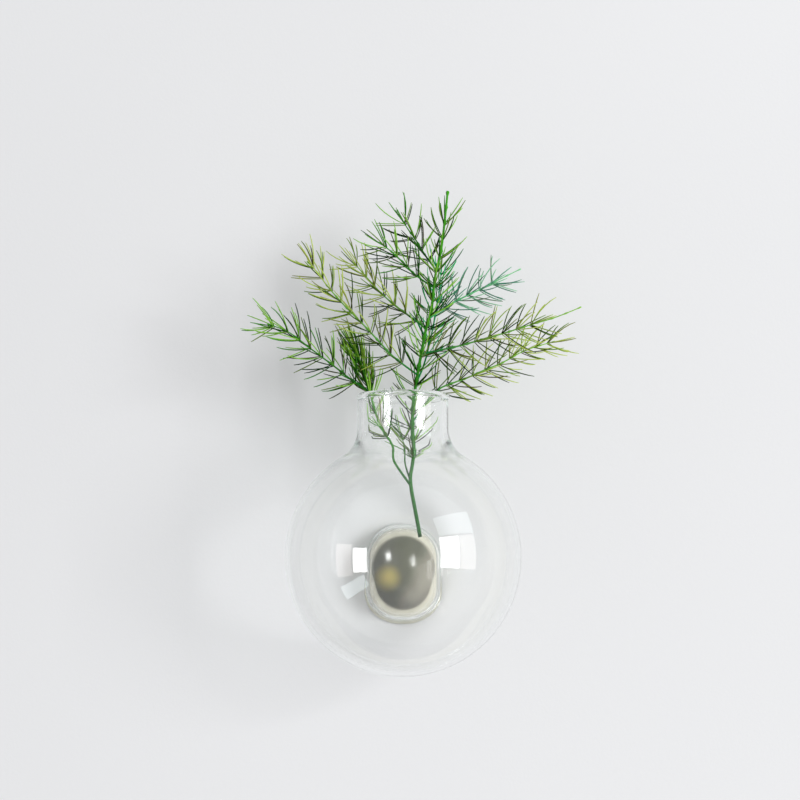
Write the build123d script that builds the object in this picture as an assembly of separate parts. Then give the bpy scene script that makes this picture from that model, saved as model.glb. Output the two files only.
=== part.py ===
from build123d import *
from dataclasses import dataclass
import math
import os

import numpy as np

# A blown glass globe with a neck hangs by a blind oval socket on a peg that is screwed to the wall,
# and holds one cut sprig. Sizes are in millimetres. +Z is up, the wall is the plane y = 0, the room
# lies toward -Y, and the origin is the centre of the peg's back on the wall.

# Globe and neck
globe_radius = 50.0
globe_wall = 1.6
globe_lift = 7.0  # the globe's centre above the peg's axis
wall_gap = 0.5  # from the wall to the glass round the socket's mouth
neck_radius = 19.5
neck_wall = 2.4
neck_flare = 13.5  # outer bend from the neck to the globe
throat_flare = 15.0  # inner bend from the neck to the globe
rim_height = 69.5  # top of the lip above the globe's centre
lip_bead = 1.6  # radius of the lip's round

# Socket blown into the back of the globe
socket_wall = 1.2
socket_gap = 0.3  # round the sleeve
socket_play = 0.5  # ahead of the cap
socket_crown = 36.0
socket_rounding = 5.0
socket_root_rounding = 2.0
mouth_rounding = 0.5

# Peg
sleeve_width = 30.2
sleeve_height = 40.2
sleeve_corner = 13.5
sleeve_wall = 1.5
sleeve_reach = 16.0  # where the sleeve's crowned front would peak
sleeve_crown = 40.0
sleeve_rounding = 4.0
core_reach = 10.5
core_fit = 0.05
cap_reach = 18.0
cap_crown = 30.0
cap_rounding = 1.5
cap_fit = 0.08
cap_top_radius = 14.2
cap_foot_radius = 12.4
cap_half_height = 16.6
pad_thickness = 1.0
pad_inset = 0.6

# Screw, washer and plug
pocket_radius = 5.4
pocket_depth = 6.5
spigot_fit = 0.1
spigot_length = 2.3
screw_radius = 2.0
screw_root_radius = 1.6
screw_pitch = 1.8
screw_length = 36.0
screw_point = 4.0
screw_head_radius = 3.9
screw_head_height = 2.4
screw_head_rounding = 1.1
drive_width = 0.9
drive_length = 4.4
drive_depth = 1.3
screw_clearance = 0.3
washer_radius = 4.9
washer_thickness = 0.8
plug_radius = 3.0
plug_length = 25.0
plug_fit = 0.05
plug_collar_radius = 3.8
plug_collar_thickness = 0.8
plug_slit = 0.8
plug_whole_length = 8.0
plug_slit_degrees = 45.0  # the slits lie across the peg's axes
collar_room = 0.4

# Sprig
sprig_length = 146.0
stem_radius = 0.85
shoot_radius = 0.55
twig_radius = 0.42
tip_radius = 0.2
leader_radius = 0.45  # the main stem's tip
stem_gap = 0.12  # between a branch's foot and the stem that it grows on
lean_gap = 0.3  # between the left stem and the lip that it leans on
whorl_pitch = 6.3
tip_setback = 0.8  # from a shoot's tip to its last whorl
needle_length = 15.5
needle_radius = 0.34
needle_spacing = 1.0  # least distance between needles, and from a needle to another shoot
needle_root = 4.5  # needles of one shoot may lie closer than that over this length from the stem
glass_clearance = 0.8
overrun = 5.0  # how far a cut runs past what it cuts

# Worked out from the sizes above
socket_half_width = sleeve_width / 2 + socket_gap
socket_half_height = sleeve_height / 2 + socket_gap
mouth_offset = min(socket_half_width, socket_half_height - globe_lift)
globe_offset = math.sqrt(globe_radius**2 - mouth_offset**2) + wall_gap
socket_reach = cap_reach + socket_play
pocket_floor = core_reach - pocket_depth
screw_seat = pocket_floor + washer_thickness
rim_centre = np.array([0, -globe_offset, globe_lift + rim_height])


def on_circle(centre_x, centre_z, radius, degrees):
    """The point of a circle in the XZ plane at an angle from +X."""
    angle = math.radians(degrees)
    return Vector(centre_x + radius * math.cos(angle), 0, centre_z + radius * math.sin(angle))


def circle_arc(centre_x, centre_z, radius, start, end):
    """An arc in the XZ plane between two angles."""
    points = [on_circle(centre_x, centre_z, radius, angle) for angle in (start, (start + end) / 2, end)]
    return ThreePointArc(*points)


def turned(edges):
    """The solid that closed XZ edges sweep round the Z axis."""
    return revolve(make_face(Wire(edges)), Axis.Z)


def oval(width, height, corner):
    """A rounded upright oval in the wall's plane."""
    return Plane.XZ * RectangleRounded(width, height, corner)


def egg(growth):
    """The cap's outline, two arcs and their tangents, broad above, with each side moved out by growth."""
    top_z = cap_half_height - cap_top_radius
    foot_z = cap_foot_radius - cap_half_height
    tilt = math.degrees(math.asin((cap_top_radius - cap_foot_radius) / (top_z - foot_z)))
    top = circle_arc(0, top_z, cap_top_radius + growth, -tilt, 180 + tilt)
    foot = circle_arc(0, foot_z, cap_foot_radius + growth, 180 + tilt, 360 - tilt)
    return make_face(Wire([top, Line(top @ 1, foot @ 0), foot, Line(foot @ 1, top @ 0)]))


def crowned(outline, start, reach, crown, rounding):
    """An outline carried from y = -start to a domed front that peaks at y = -reach."""
    block = extrude(Pos(0, -start, 0) * outline, reach - start, dir=(0, -1, 0))
    block &= Pos(0, crown - reach, 0) * Sphere(crown)
    front = [edge for edge in block.edges() if abs(edge.center().Y + start) > rounding / 2]
    rim = [edge for edge in front if edge.geom_type != GeomType.LINE or abs(edge.tangent_at(0).Y) < 0.5]
    return fillet(rim, rounding)


def along_wall_normal(radius, start, end):
    """A round bar on the peg's axis from y = start to y = end."""
    bar = Cylinder(radius, end - start, align=(Align.CENTER, Align.CENTER, Align.MIN))
    return Pos(0, start, 0) * Rot(-90, 0, 0) * bar


def glass_body():
    """The globe, the flare and the neck as one filled turned solid."""
    flare_height = math.sqrt((globe_radius + neck_flare) ** 2 - (neck_radius + neck_flare) ** 2)
    meeting = math.degrees(math.atan2(flare_height, neck_radius + neck_flare))
    lip_height = rim_height - lip_bead
    globe = circle_arc(0, 0, globe_radius, -90, meeting)
    flare = circle_arc(neck_radius + neck_flare, flare_height, neck_flare, meeting + 180, 180)
    neck = Line(flare @ 1, (neck_radius, 0, lip_height))
    top = Line(neck @ 1, (0, 0, lip_height))
    return turned([globe, flare, neck, top, Line(top @ 1, globe @ 0)])


def glass_void():
    """The room inside the globe and the neck, with a bend that touches both."""
    inner_radius = globe_radius - globe_wall
    bore = neck_radius - neck_wall
    bend_x = bore + throat_flare
    bend_z = math.sqrt((inner_radius + throat_flare) ** 2 - bend_x**2)
    meeting = math.degrees(math.atan2(bend_z, bend_x))
    globe = circle_arc(0, 0, inner_radius, -90, meeting)
    throat = circle_arc(bend_x, bend_z, throat_flare, meeting + 180, 180)
    neck = Line(throat @ 1, (bore, 0, rim_height + overrun))
    top = Line(neck @ 1, (0, 0, rim_height + overrun))
    return turned([globe, throat, neck, top, Line(top @ 1, globe @ 0)])


def glass_vessel():
    """The whole blown piece, with its lip and its blind socket."""
    place = Pos(0, -globe_offset, globe_lift)
    body = place * glass_body()
    lip = place * Pos(0, 0, rim_height - lip_bead) * Torus(neck_radius - neck_wall / 2, lip_bead)
    outside = oval(
        2 * (socket_half_width + socket_wall),
        2 * (socket_half_height + socket_wall),
        sleeve_corner + socket_gap + socket_wall,
    )
    inside = oval(2 * socket_half_width, 2 * socket_half_height, sleeve_corner + socket_gap)
    crown, rounding = socket_crown + socket_wall, socket_rounding + socket_wall
    bulge = crowned(outside, 0, socket_reach + socket_wall, crown, rounding)
    room = crowned(inside, -overrun, socket_reach, socket_crown, socket_rounding)
    glass = body - place * glass_void() + lip + (bulge & body)
    centre = Vector(0, -globe_offset, globe_lift)
    root = near_sphere(glass, centre, globe_radius - globe_wall)
    glass = fillet(root, socket_root_rounding) - room
    mouth = near_sphere(glass, centre, globe_radius)
    return fillet(mouth, mouth_rounding)


def near_sphere(solid, centre, radius):
    """The edges round the socket that lie on a sphere about the globe's centre."""
    found = []
    for edge in solid.edges():
        places = [edge @ share for share in (0, 0.5, 1)]
        behind = all(place.Y > -globe_offset / 2 for place in places)
        if behind and all(abs((place - centre).length - radius) < globe_wall / 10 for place in places):
            found.append(edge)
    return found


def peg_core():
    """The rigid oval core, with the screw's hole and the pocket for its head."""
    inset = 2 * (sleeve_wall + core_fit)
    outline = oval(sleeve_width - inset, sleeve_height - inset, sleeve_corner - sleeve_wall - core_fit)
    block = extrude(Pos(0, -pad_thickness, 0) * outline, core_reach - pad_thickness)
    block -= along_wall_normal(screw_radius + screw_clearance, -core_reach - overrun, overrun)
    return block - along_wall_normal(pocket_radius, -core_reach - overrun, -pocket_floor)


def peg_sleeve():
    """The soft sleeve over the core, open behind, with the cap's window in front."""
    outline = oval(sleeve_width, sleeve_height, sleeve_corner)
    sleeve = crowned(outline, pad_thickness, sleeve_reach, sleeve_crown, sleeve_rounding)
    inset = 2 * sleeve_wall
    hollow = oval(sleeve_width - inset, sleeve_height - inset, sleeve_corner - sleeve_wall)
    sleeve -= extrude(Pos(0, overrun, 0) * hollow, core_reach + overrun)
    return sleeve - extrude(egg(cap_fit), sleeve_reach + overrun, dir=(0, -1, 0))


def peg_cap():
    """The egg-shaped dome, with the spigot that fits the core's pocket."""
    dome = crowned(egg(0), core_reach, cap_reach, cap_crown, cap_rounding)
    spigot_radius = pocket_radius - spigot_fit
    return dome + along_wall_normal(spigot_radius, -core_reach - cap_rounding, spigot_length - core_reach)


def back_pad():
    """The thin soft pad behind the peg, with room for the plug's collar."""
    outline = oval(sleeve_width - 2 * pad_inset, sleeve_height - 2 * pad_inset, sleeve_corner - pad_inset)
    room = along_wall_normal(plug_collar_radius + collar_room, -overrun, overrun)
    return extrude(outline, pad_thickness) - room


def screw_washer():
    """The flat washer on the pocket's floor."""
    washer = along_wall_normal(washer_radius, -screw_seat, -pocket_floor)
    return washer - along_wall_normal(screw_radius + screw_clearance, -screw_seat - overrun, overrun)


def mounting_screw():
    """The wood screw: a domed head with a cross drive, a shank, ring threads and a point."""
    end = screw_length - screw_seat
    ridges = int((end - screw_point) / screw_pitch)
    outline = [(0, -screw_seat), (screw_root_radius, -screw_seat)]
    for turn in range(ridges):
        foot = turn * screw_pitch
        outline += [(screw_root_radius, foot), (screw_radius, foot + screw_pitch / 2)]
    outline += [(screw_root_radius, end - screw_point), (0, end), (0, -screw_seat)]
    shank = revolve(make_face(Polyline(*outline)), Axis.Y)
    head = along_wall_normal(screw_head_radius, -screw_seat - screw_head_height, -screw_seat)
    head = fillet(head.edges().sort_by(Axis.Y)[0], screw_head_rounding)
    for length, width in ((drive_length, drive_width), (drive_width, drive_length)):
        head -= Pos(0, -screw_seat - screw_head_height, 0) * Box(length, 2 * drive_depth, width)
    return head + shank


def wall_plug():
    """The split plug in the wall, with a thin collar."""
    plug = along_wall_normal(plug_radius, -plug_collar_thickness, plug_length)
    plug += along_wall_normal(plug_collar_radius, -plug_collar_thickness, 0)
    plug -= along_wall_normal(screw_radius + plug_fit, -overrun, plug_length + overrun)
    split = plug_length - plug_whole_length
    for width, height in ((plug_slit, 3 * plug_radius), (3 * plug_radius, plug_slit)):
        place = Pos(0, plug_whole_length + split, 0) * Rot(0, plug_slit_degrees, 0)
        plug -= place * Box(width, 2 * split, height)
    return plug


@dataclass
class Shoot:
    """A stem or branch: its route in shares of the sprig's length from its foot, and its needles."""

    route_shares: list
    foot_radius: float
    tip_radius: float
    whorl_needles: int
    bare_share: float
    grows_on: str = ""
    bare_whorls: int = 0
    pitch_share: float = 1.0
    lean_share: float = 1.0


shoots = {
    "main_stem": Shoot(
        [
            (0.052, 0.075, -0.417),
            (0.040, 0.072, -0.352),
            (0.020, 0.065, -0.249),
            (0.029, 0.062, -0.205),
            (0.034, 0.055, -0.162),
            (0.028, 0.048, -0.104),
            (0.031, 0.038, -0.017),
            (0.046, 0.027, 0.073),
            (0.059, 0.021, 0.142),
            (0.069, 0.014, 0.196),
            (0.086, 0.007, 0.251),
            (0.092, 0.000, 0.316),
            (0.099, -0.007, 0.367),
            (0.112, -0.014, 0.409),
            (0.123, -0.027, 0.496),
            (0.133, -0.041, 0.597),
        ],
        stem_radius,
        leader_radius,
        4,
        0.24,
        "",
        2,
    ),
    "left_stem": Shoot(
        [
            (0.022, 0.066, -0.262),
            (-0.013, 0.055, -0.215),
            (-0.030, 0.048, -0.186),
            (-0.027, 0.041, -0.154),
            (-0.059, 0.037, -0.105),
            (-0.080, 0.040, -0.061),
            (-0.096, 0.048, -0.011),
            (-0.101, 0.044, 0.010),
        ],
        shoot_radius,
        twig_radius,
        4,
        0.5,
        "main_stem",
    ),
    "middle_stem": Shoot(
        [
            (0.020, 0.067, -0.240),
            (0.005, 0.078, -0.200),
            (0.008, 0.082, -0.160),
            (-0.004, 0.085, -0.107),
        ],
        twig_radius,
        tip_radius,
        3,
        0.9,
        "main_stem",
    ),
    "rear_stem": Shoot(
        [
            (0.037, 0.034, 0.030),
            (0.061, 0.055, 0.079),
            (0.082, 0.065, 0.163),
            (0.099, 0.075, 0.247),
            (0.111, 0.082, 0.313),
            (0.117, 0.089, 0.388),
        ],
        twig_radius,
        tip_radius,
        4,
        0.3,
        "main_stem",
    ),
    "branch_a": Shoot(
        [
            (0.099, -0.007, 0.367),
            (0.066, 0.010, 0.414),
            (0.046, 0.024, 0.455),
            (0.004, 0.045, 0.517),
            (-0.017, 0.058, 0.564),
        ],
        twig_radius,
        tip_radius,
        6,
        0.25,
        "main_stem",
        1,
    ),
    "branch_b": Shoot(
        [
            (0.092, 0.000, 0.316),
            (0.037, -0.017, 0.348),
            (0.008, -0.027, 0.381),
            (-0.047, -0.045, 0.428),
            (-0.071, -0.051, 0.442),
        ],
        twig_radius,
        tip_radius,
        6,
        0.2,
        "main_stem",
    ),
    "branch_c": Shoot(
        [
            (0.069, 0.014, 0.196),
            (0.005, 0.031, 0.246),
            (-0.060, 0.048, 0.301),
            (-0.114, 0.065, 0.366),
            (-0.133, 0.069, 0.390),
        ],
        twig_radius,
        tip_radius,
        6,
        0.15,
        "main_stem",
    ),
    "branch_d": Shoot(
        [
            (0.043, 0.027, 0.060),
            (-0.027, 0.001, 0.107),
            (-0.060, -0.012, 0.143),
            (-0.112, -0.031, 0.198),
            (-0.170, -0.045, 0.254),
            (-0.227, -0.058, 0.318),
            (-0.250, -0.065, 0.354),
            (-0.279, -0.072, 0.381),
        ],
        twig_radius,
        tip_radius,
        5,
        0.12,
        "main_stem",
    ),
    "branch_e": Shoot(
        [
            (-0.101, 0.044, 0.010),
            (-0.120, 0.034, 0.026),
            (-0.160, 0.014, 0.049),
            (-0.195, -0.007, 0.077),
            (-0.260, -0.038, 0.122),
            (-0.327, -0.068, 0.173),
            (-0.361, -0.075, 0.186),
            (-0.392, -0.081, 0.195),
        ],
        twig_radius,
        tip_radius,
        6,
        0.12,
        "left_stem",
    ),
    "branch_f": Shoot(
        [
            (-0.098, 0.047, -0.004),
            (-0.108, 0.062, 0.050),
            (-0.127, 0.076, 0.103),
            (-0.148, 0.087, 0.149),
            (-0.158, 0.092, 0.167),
        ],
        twig_radius,
        tip_radius,
        8,
        0.15,
        "left_stem",
        0,
        0.45,
        0.4,
    ),
    "branch_g": Shoot(
        [
            (0.078, 0.010, 0.225),
            (0.131, 0.031, 0.266),
            (0.187, 0.048, 0.298),
            (0.258, 0.068, 0.334),
            (0.288, 0.075, 0.353),
            (0.357, 0.092, 0.389),
        ],
        twig_radius,
        tip_radius,
        5,
        0.15,
        "main_stem",
        2,
    ),
    "branch_h": Shoot(
        [
            (0.055, 0.022, 0.122),
            (0.147, 0.000, 0.136),
            (0.229, -0.021, 0.157),
            (0.307, -0.041, 0.177),
            (0.375, -0.055, 0.198),
            (0.452, -0.072, 0.217),
            (0.518, -0.082, 0.245),
        ],
        twig_radius,
        tip_radius,
        5,
        0.12,
        "main_stem",
        3,
    ),
    "branch_i": Shoot(
        [
            (0.029, 0.045, -0.080),
            (0.061, 0.045, -0.036),
            (0.100, 0.041, 0.019),
            (0.156, 0.055, 0.041),
            (0.199, 0.065, 0.057),
            (0.241, 0.075, 0.079),
            (0.298, 0.086, 0.101),
            (0.346, 0.096, 0.132),
            (0.397, 0.106, 0.154),
            (0.460, 0.118, 0.172),
        ],
        twig_radius,
        tip_radius,
        5,
        0.22,
        "main_stem",
    ),
}


def unit(vector):
    """A vector of length 1 in the same direction."""
    return vector / np.linalg.norm(vector)


def wobble(index):
    """A steady scatter between -1 and 1 from the golden ratio."""
    golden_share = (math.sqrt(5) - 1) / 2
    return 2 * math.modf(index * golden_share)[0] - 1


def smooth_path(points):
    """Straight runs joined by arcs as large as each pair of runs allows."""
    radii = []
    for before, corner, after in zip(points, points[1:], points[2:]):
        shorter = min(np.linalg.norm(corner - before), np.linalg.norm(after - corner))
        turn = math.acos(np.dot(unit(corner - before), unit(after - corner)))
        radii.append(0.45 * shorter / math.tan(turn / 2))
    return FilletPolyline(*[tuple(point) for point in points], radius=radii)


def places_on(path):
    """Points close together along a path."""
    count = math.ceil(2 * path.length / needle_spacing)
    return np.array([tuple(path @ share) for share in np.linspace(0, 1, count)])


def sprig_foot():
    """Where the routes are measured from: the rim's centre, moved until the left stem leans on the lip."""
    leaning = sprig_length * np.array(shoots["left_stem"].route_shares[-2])
    leaning[2] = 0
    wanted = neck_radius - neck_wall / 2 - lip_bead - lean_gap - twig_radius
    return rim_centre + (wanted - np.linalg.norm(leaning)) * unit(leaning)


def lay_out():
    """Each shoot's path, which starts just off the stem that it grows on."""
    paths = {}
    for name, shoot in shoots.items():
        points = [sprig_foot() + sprig_length * np.array(place) for place in shoot.route_shares]
        if shoot.grows_on:
            carrier = shoots[shoot.grows_on]
            stem = places_on(paths[shoot.grows_on])
            radii = np.linspace(carrier.foot_radius, carrier.tip_radius, len(stem))
            step = stem_gap * unit(points[1] - points[0])
            while (np.linalg.norm(stem - points[0], axis=1) - radii).min() < shoot.foot_radius + stem_gap:
                points[0] = points[0] + step
        paths[name] = smooth_path(points)
    return paths


def whorls(path, shoot):
    """The needles that a shoot wants: place, direction, number, and share of the way to its tip."""
    pitch = whorl_pitch * shoot.pitch_share
    last = int(path.length * (1 - shoot.bare_share) / pitch)
    for whorl in range(last + 1 - shoot.bare_whorls):
        share = 1 - (tip_setback + (last - whorl) * pitch) / path.length
        place, direction = np.array(tuple(path @ share)), np.array(tuple(path % share))
        for turn in range(shoot.whorl_needles):
            yield place, direction, whorl * shoot.whorl_needles + turn, share


def needle_end(place, direction, index, share, lean_share, turned_on):
    """Where a needle's point lies: leaning out from the shoot, flatter toward the wall."""
    side = unit(np.cross(direction, [0, 1, 0]))
    toward_wall = np.cross(side, direction)
    azimuth = math.radians(137.5 * index + turned_on)
    lean = lean_share * math.radians(62 - 24 * share + 13 * wobble(index))
    flatness_share = 0.55
    outward = math.cos(azimuth) * side + flatness_share * math.sin(azimuth) * toward_wall
    length = needle_length * (0.86 - 0.16 * share**2 + 0.14 * wobble(3 * index + 1))
    return place + length * unit(math.cos(lean) * direction + math.sin(lean) * outward)


def clear_of_glass(places):
    """Are the places well inside the neck's bore or well outside the neck, or above it?"""
    spread = np.hypot(places[:, 0] - rim_centre[0], places[:, 1] - rim_centre[1])
    middle = neck_radius - neck_wall / 2
    beside = abs(spread - middle) < lip_bead + glass_clearance
    return not np.any(beside & (places[:, 2] < rim_centre[2] + glass_clearance))


def grow(paths):
    """Each shoot's needles, turned aside where one would touch another needle, a shoot or the glass."""
    taken = {name: places_on(path) for name, path in paths.items()}
    grown = {name: [] for name in shoots}
    reach = np.linspace(0, 1, math.ceil(2 * needle_length / needle_spacing))[1:, None]
    for name, path in paths.items():
        others = np.vstack([taken[other] for other in shoots if other != name])
        for place, direction, index, share in whorls(path, shoots[name]):
            for turned_on in range(0, 180, 20):
                end = needle_end(place, direction, index, share, shoots[name].lean_share, turned_on)
                needle = place + reach * (end - place)
                beyond = needle[np.linalg.norm(needle - place, axis=1) > needle_root]
                gap = np.linalg.norm(needle[:, None] - others, axis=2).min()
                own_gap = np.linalg.norm(beyond[:, None] - taken[name], axis=2).min()
                if min(gap, own_gap) > needle_spacing and clear_of_glass(needle):
                    grown[name].append((place, end))
                    taken[name] = np.vstack([taken[name], needle])
                    break
    return grown


def shoot_solid(path, shoot, needles):
    """A tapered stem with its three-sided needles, in one fuse."""
    foot = Plane(origin=path @ 0, z_dir=path % 0) * Circle(shoot.foot_radius)
    tip = Plane(origin=path @ 1, z_dir=path % 1) * Circle(shoot.tip_radius)
    stem = sweep([foot, tip], path=path, multisection=True)
    strands = []
    for start, end in needles:
        root = start + tip_radius * unit(end - start)
        section = Plane(origin=tuple(root), z_dir=tuple(end - start)) * RegularPolygon(needle_radius, 3)
        strands.append(loft([section.face(), Vertex(*end)]))
    return stem.fuse(*strands)


def main():
    """Writes each piece to its own file."""
    os.makedirs("parts", exist_ok=True)
    hardware = [wall_plug, mounting_screw, screw_washer, back_pad]
    for maker in hardware + [peg_core, peg_sleeve, peg_cap, glass_vessel]:
        export_step(maker(), f"parts/{maker.__name__}.step")
    paths = lay_out()
    grown = grow(paths)
    for name, shoot in shoots.items():
        export_step(shoot_solid(paths[name], shoot, grown[name]), f"parts/{name}.step")
    print("needles:", sum(len(needles) for needles in grown.values()))


main()
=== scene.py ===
import logging
import math
from dataclasses import dataclass
from enum import Enum

import bpy
import numpy as np
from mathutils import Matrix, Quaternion, Vector


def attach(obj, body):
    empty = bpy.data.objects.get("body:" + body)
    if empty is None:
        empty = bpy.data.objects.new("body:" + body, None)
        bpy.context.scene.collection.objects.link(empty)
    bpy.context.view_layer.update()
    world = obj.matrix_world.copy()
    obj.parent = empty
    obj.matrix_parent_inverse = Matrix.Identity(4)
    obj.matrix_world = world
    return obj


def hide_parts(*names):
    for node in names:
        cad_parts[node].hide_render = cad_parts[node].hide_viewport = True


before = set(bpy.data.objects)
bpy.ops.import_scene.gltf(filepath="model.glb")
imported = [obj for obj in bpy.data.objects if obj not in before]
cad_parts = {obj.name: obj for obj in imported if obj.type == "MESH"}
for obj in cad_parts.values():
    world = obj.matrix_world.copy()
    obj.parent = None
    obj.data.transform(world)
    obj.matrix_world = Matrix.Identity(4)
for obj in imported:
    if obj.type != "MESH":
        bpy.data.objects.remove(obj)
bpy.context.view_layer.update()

# Sizes are in millimetres and become metres as they are handed to Blender. +Z is up, the wall is
# the plane y = 0, the room lies toward -Y, and the origin is the centre of the peg's back.
MM = 0.001
WALL_NORMAL = np.array([0.0, 1.0, 0.0])
GOLDEN_SHARE = (math.sqrt(5) - 1) / 2
TURN_PER_NEEDLE = 137.5

# The Mix node's colour sockets, by number because its other kinds of data have sockets of the same name.
MIX_COLOURS = (6, 7)
MIX_RESULT = 2

Colour = tuple[float, float, float]
log = logging.getLogger("flower_tube")


def unit(vectors: np.ndarray) -> np.ndarray:
    """Vectors divided by their lengths.

    Args:
        vectors: vectors along the last axis.

    Returns:
        Vectors of length 1 with the same directions.
    """
    return vectors / np.linalg.norm(vectors, axis=-1, keepdims=True)


def wobble(index: np.ndarray) -> np.ndarray:
    """A steady scatter between -1 and 1: twice the fraction of index times the golden share, less 1.

    Args:
        index: whole numbers.

    Returns:
        One value for each of them.
    """
    return 2 * np.modf(index * GOLDEN_SHARE)[0] - 1


def smooth_step(low: float, high: float, values: np.ndarray) -> np.ndarray:
    """The cubic ease from 0 at low to 1 at high: 3t squared less 2t cubed.

    Args:
        low: where the ease starts.
        high: where it ends.
        values: where it is read.

    Returns:
        Shares from 0 to 1.
    """
    share = np.clip((values - low) / (high - low), 0, 1)
    return share**2 * (3 - 2 * share)


class Value:
    """A shader socket that Python's operators add Math nodes to."""

    def __init__(self, shader: "Shader", socket: bpy.types.NodeSocket) -> None:
        """Wraps a socket of one of the shader's nodes."""
        self.shader = shader
        self.socket = socket

    def __add__(self, other: "Value | float") -> "Value":
        """The sum of this and another value."""
        return self.shader.math("ADD", self, other)

    def __sub__(self, other: "Value | float") -> "Value":
        """This value less another."""
        return self.shader.math("SUBTRACT", self, other)

    def __rsub__(self, other: float) -> "Value":
        """A number less this value."""
        return self.shader.math("SUBTRACT", other, self)

    def __mul__(self, other: "Value | float") -> "Value":
        """The product of this and another value."""
        return self.shader.math("MULTIPLY", self, other)

    def __pow__(self, other: "Value | float") -> "Value":
        """This value to a power."""
        return self.shader.math("POWER", self, other)

    __radd__ = __add__
    __rmul__ = __mul__

    def eased(self, low: float, high: float) -> "Value":
        """A smooth step from 0 where this value is low to 1 where it is high.

        Args:
            low: where the step starts.
            high: where it ends; it may be less than low.

        Returns:
            The eased value.
        """
        inputs = {"Value": self, "From Min": low, "From Max": high}
        return self.shader.value("ShaderNodeMapRange", {"interpolation_type": "SMOOTHSTEP"}, inputs)


class Shader:
    """One material or world and the nodes that are added to it."""

    def __init__(self, owner: bpy.types.Material | bpy.types.World) -> None:
        """Starts with the owner's tree, emptied.

        Args:
            owner: the material or the world.
        """
        self.owner = owner
        owner.use_nodes = True
        self.tree = owner.node_tree
        self.tree.nodes.clear()

    @classmethod
    def of_material(cls, name: str) -> "Shader":
        """Starts a new material of that name."""
        return cls(bpy.data.materials.new(name))

    def node(self, kind: str, settings: dict | None = None, inputs: dict | None = None) -> bpy.types.Node:
        """Adds a node.

        Args:
            kind: the node's type.
            settings: its properties, which are set first.
            inputs: values or links by socket name or number.

        Returns:
            The new node.
        """
        made = self.tree.nodes.new(kind)
        for name, value in (settings or {}).items():
            setattr(made, name, value)
        for key, value in (inputs or {}).items():
            if isinstance(value, Value):
                self.tree.links.new(value.socket, made.inputs[key])
            else:
                made.inputs[key].default_value = value
        return made

    def value(
        self, kind: str, settings: dict | None = None, inputs: dict | None = None, output: int | str = 0
    ) -> Value:
        """Adds a node and wraps one of its outputs.

        Args:
            kind: the node's type.
            settings: its properties.
            inputs: values or links by socket name or number.
            output: which of its outputs.

        Returns:
            The wrapped output.
        """
        return Value(self, self.node(kind, settings, inputs).outputs[output])

    def math(self, operation: str, *values: "Value | float") -> Value:
        """Adds a Math node.

        Args:
            operation: what it does.
            values: its operands.

        Returns:
            Its result.
        """
        return self.value("ShaderNodeMath", {"operation": operation}, dict(enumerate(values)))

    def place(self) -> Value:
        """The point on the object, in metres."""
        return self.value("ShaderNodeTexCoord", output="Object")

    def axes(self) -> tuple[Value, Value, Value]:
        """The point's x, y and z, in millimetres."""
        apart = self.node("ShaderNodeSeparateXYZ", inputs={0: self.place()})
        return tuple(Value(self, socket) * (1 / MM) for socket in apart.outputs)

    def attribute(self, name: str) -> Value:
        """A number that the mesh carries at its points."""
        return self.value("ShaderNodeAttribute", {"attribute_name": name}, output="Fac")

    def noise(self, size: float, detail: float = 2.0) -> Value:
        """Even noise about one half.

        Args:
            size: how far apart its lumps are, in millimetres.
            detail: how many finer layers it has.

        Returns:
            The noise.
        """
        inputs = {"Vector": self.place(), "Scale": 1 / (size * MM), "Detail": detail}
        return self.value("ShaderNodeTexNoise", inputs=inputs)

    def mix(self, share: Value, first: "Value | Colour", second: "Value | Colour") -> Value:
        """A colour between two.

        Args:
            share: how much of the second.
            first: the colour at 0.
            second: the colour at 1.

        Returns:
            The mixed colour.
        """
        sides = [side if isinstance(side, Value) else (*side, 1.0) for side in (first, second)]
        inputs = {0: share, **dict(zip(MIX_COLOURS, sides))}
        return self.value("ShaderNodeMix", {"data_type": "RGBA"}, inputs, MIX_RESULT)

    def ramp(self, share: Value, stops: list[tuple[float, Colour]]) -> Value:
        """A colour from a ramp.

        Args:
            share: where the ramp is read.
            stops: its places and colours, in order.

        Returns:
            The colour.
        """
        made = self.node("ShaderNodeValToRGB", inputs={0: share})
        elements = made.color_ramp.elements
        while len(elements) < len(stops):
            elements.new(1.0)
        for element, (place, colour) in zip(elements, stops):
            element.position = place
            element.color = (*colour, 1.0)
        return Value(self, made.outputs[0])

    def bump(self, height: Value, depth: float) -> Value:
        """A normal that follows a height.

        Args:
            height: from 0 to 1.
            depth: what a height of 1 stands for, in millimetres.

        Returns:
            The normal.
        """
        inputs = {"Height": height, "Distance": depth * MM, "Strength": 1.0}
        return self.value("ShaderNodeBump", inputs=inputs)

    def finish(self, surface: Value, volume: Value | None = None) -> bpy.types.Material:
        """Joins a shader to the output.

        Args:
            surface: the surface's shader.
            volume: what fills the piece, if anything.

        Returns:
            The finished material.
        """
        inputs = {"Surface": surface}
        if volume is not None:
            inputs["Volume"] = volume
        self.node("ShaderNodeOutputMaterial", inputs=inputs)
        return self.owner

    def sight(self, *rays: str) -> Value:
        """A mask of the kinds of ray that meet the surface.

        Args:
            rays: outputs of the Light Path node, such as Is Camera Ray.

        Returns:
            1 on rays of those kinds and 0 on all others.
        """
        path = self.node("ShaderNodeLightPath")
        found = Value(self, path.outputs[rays[0]])
        for ray in rays[1:]:
            found = self.math("MAXIMUM", found, Value(self, path.outputs[ray]))
        return found


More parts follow.
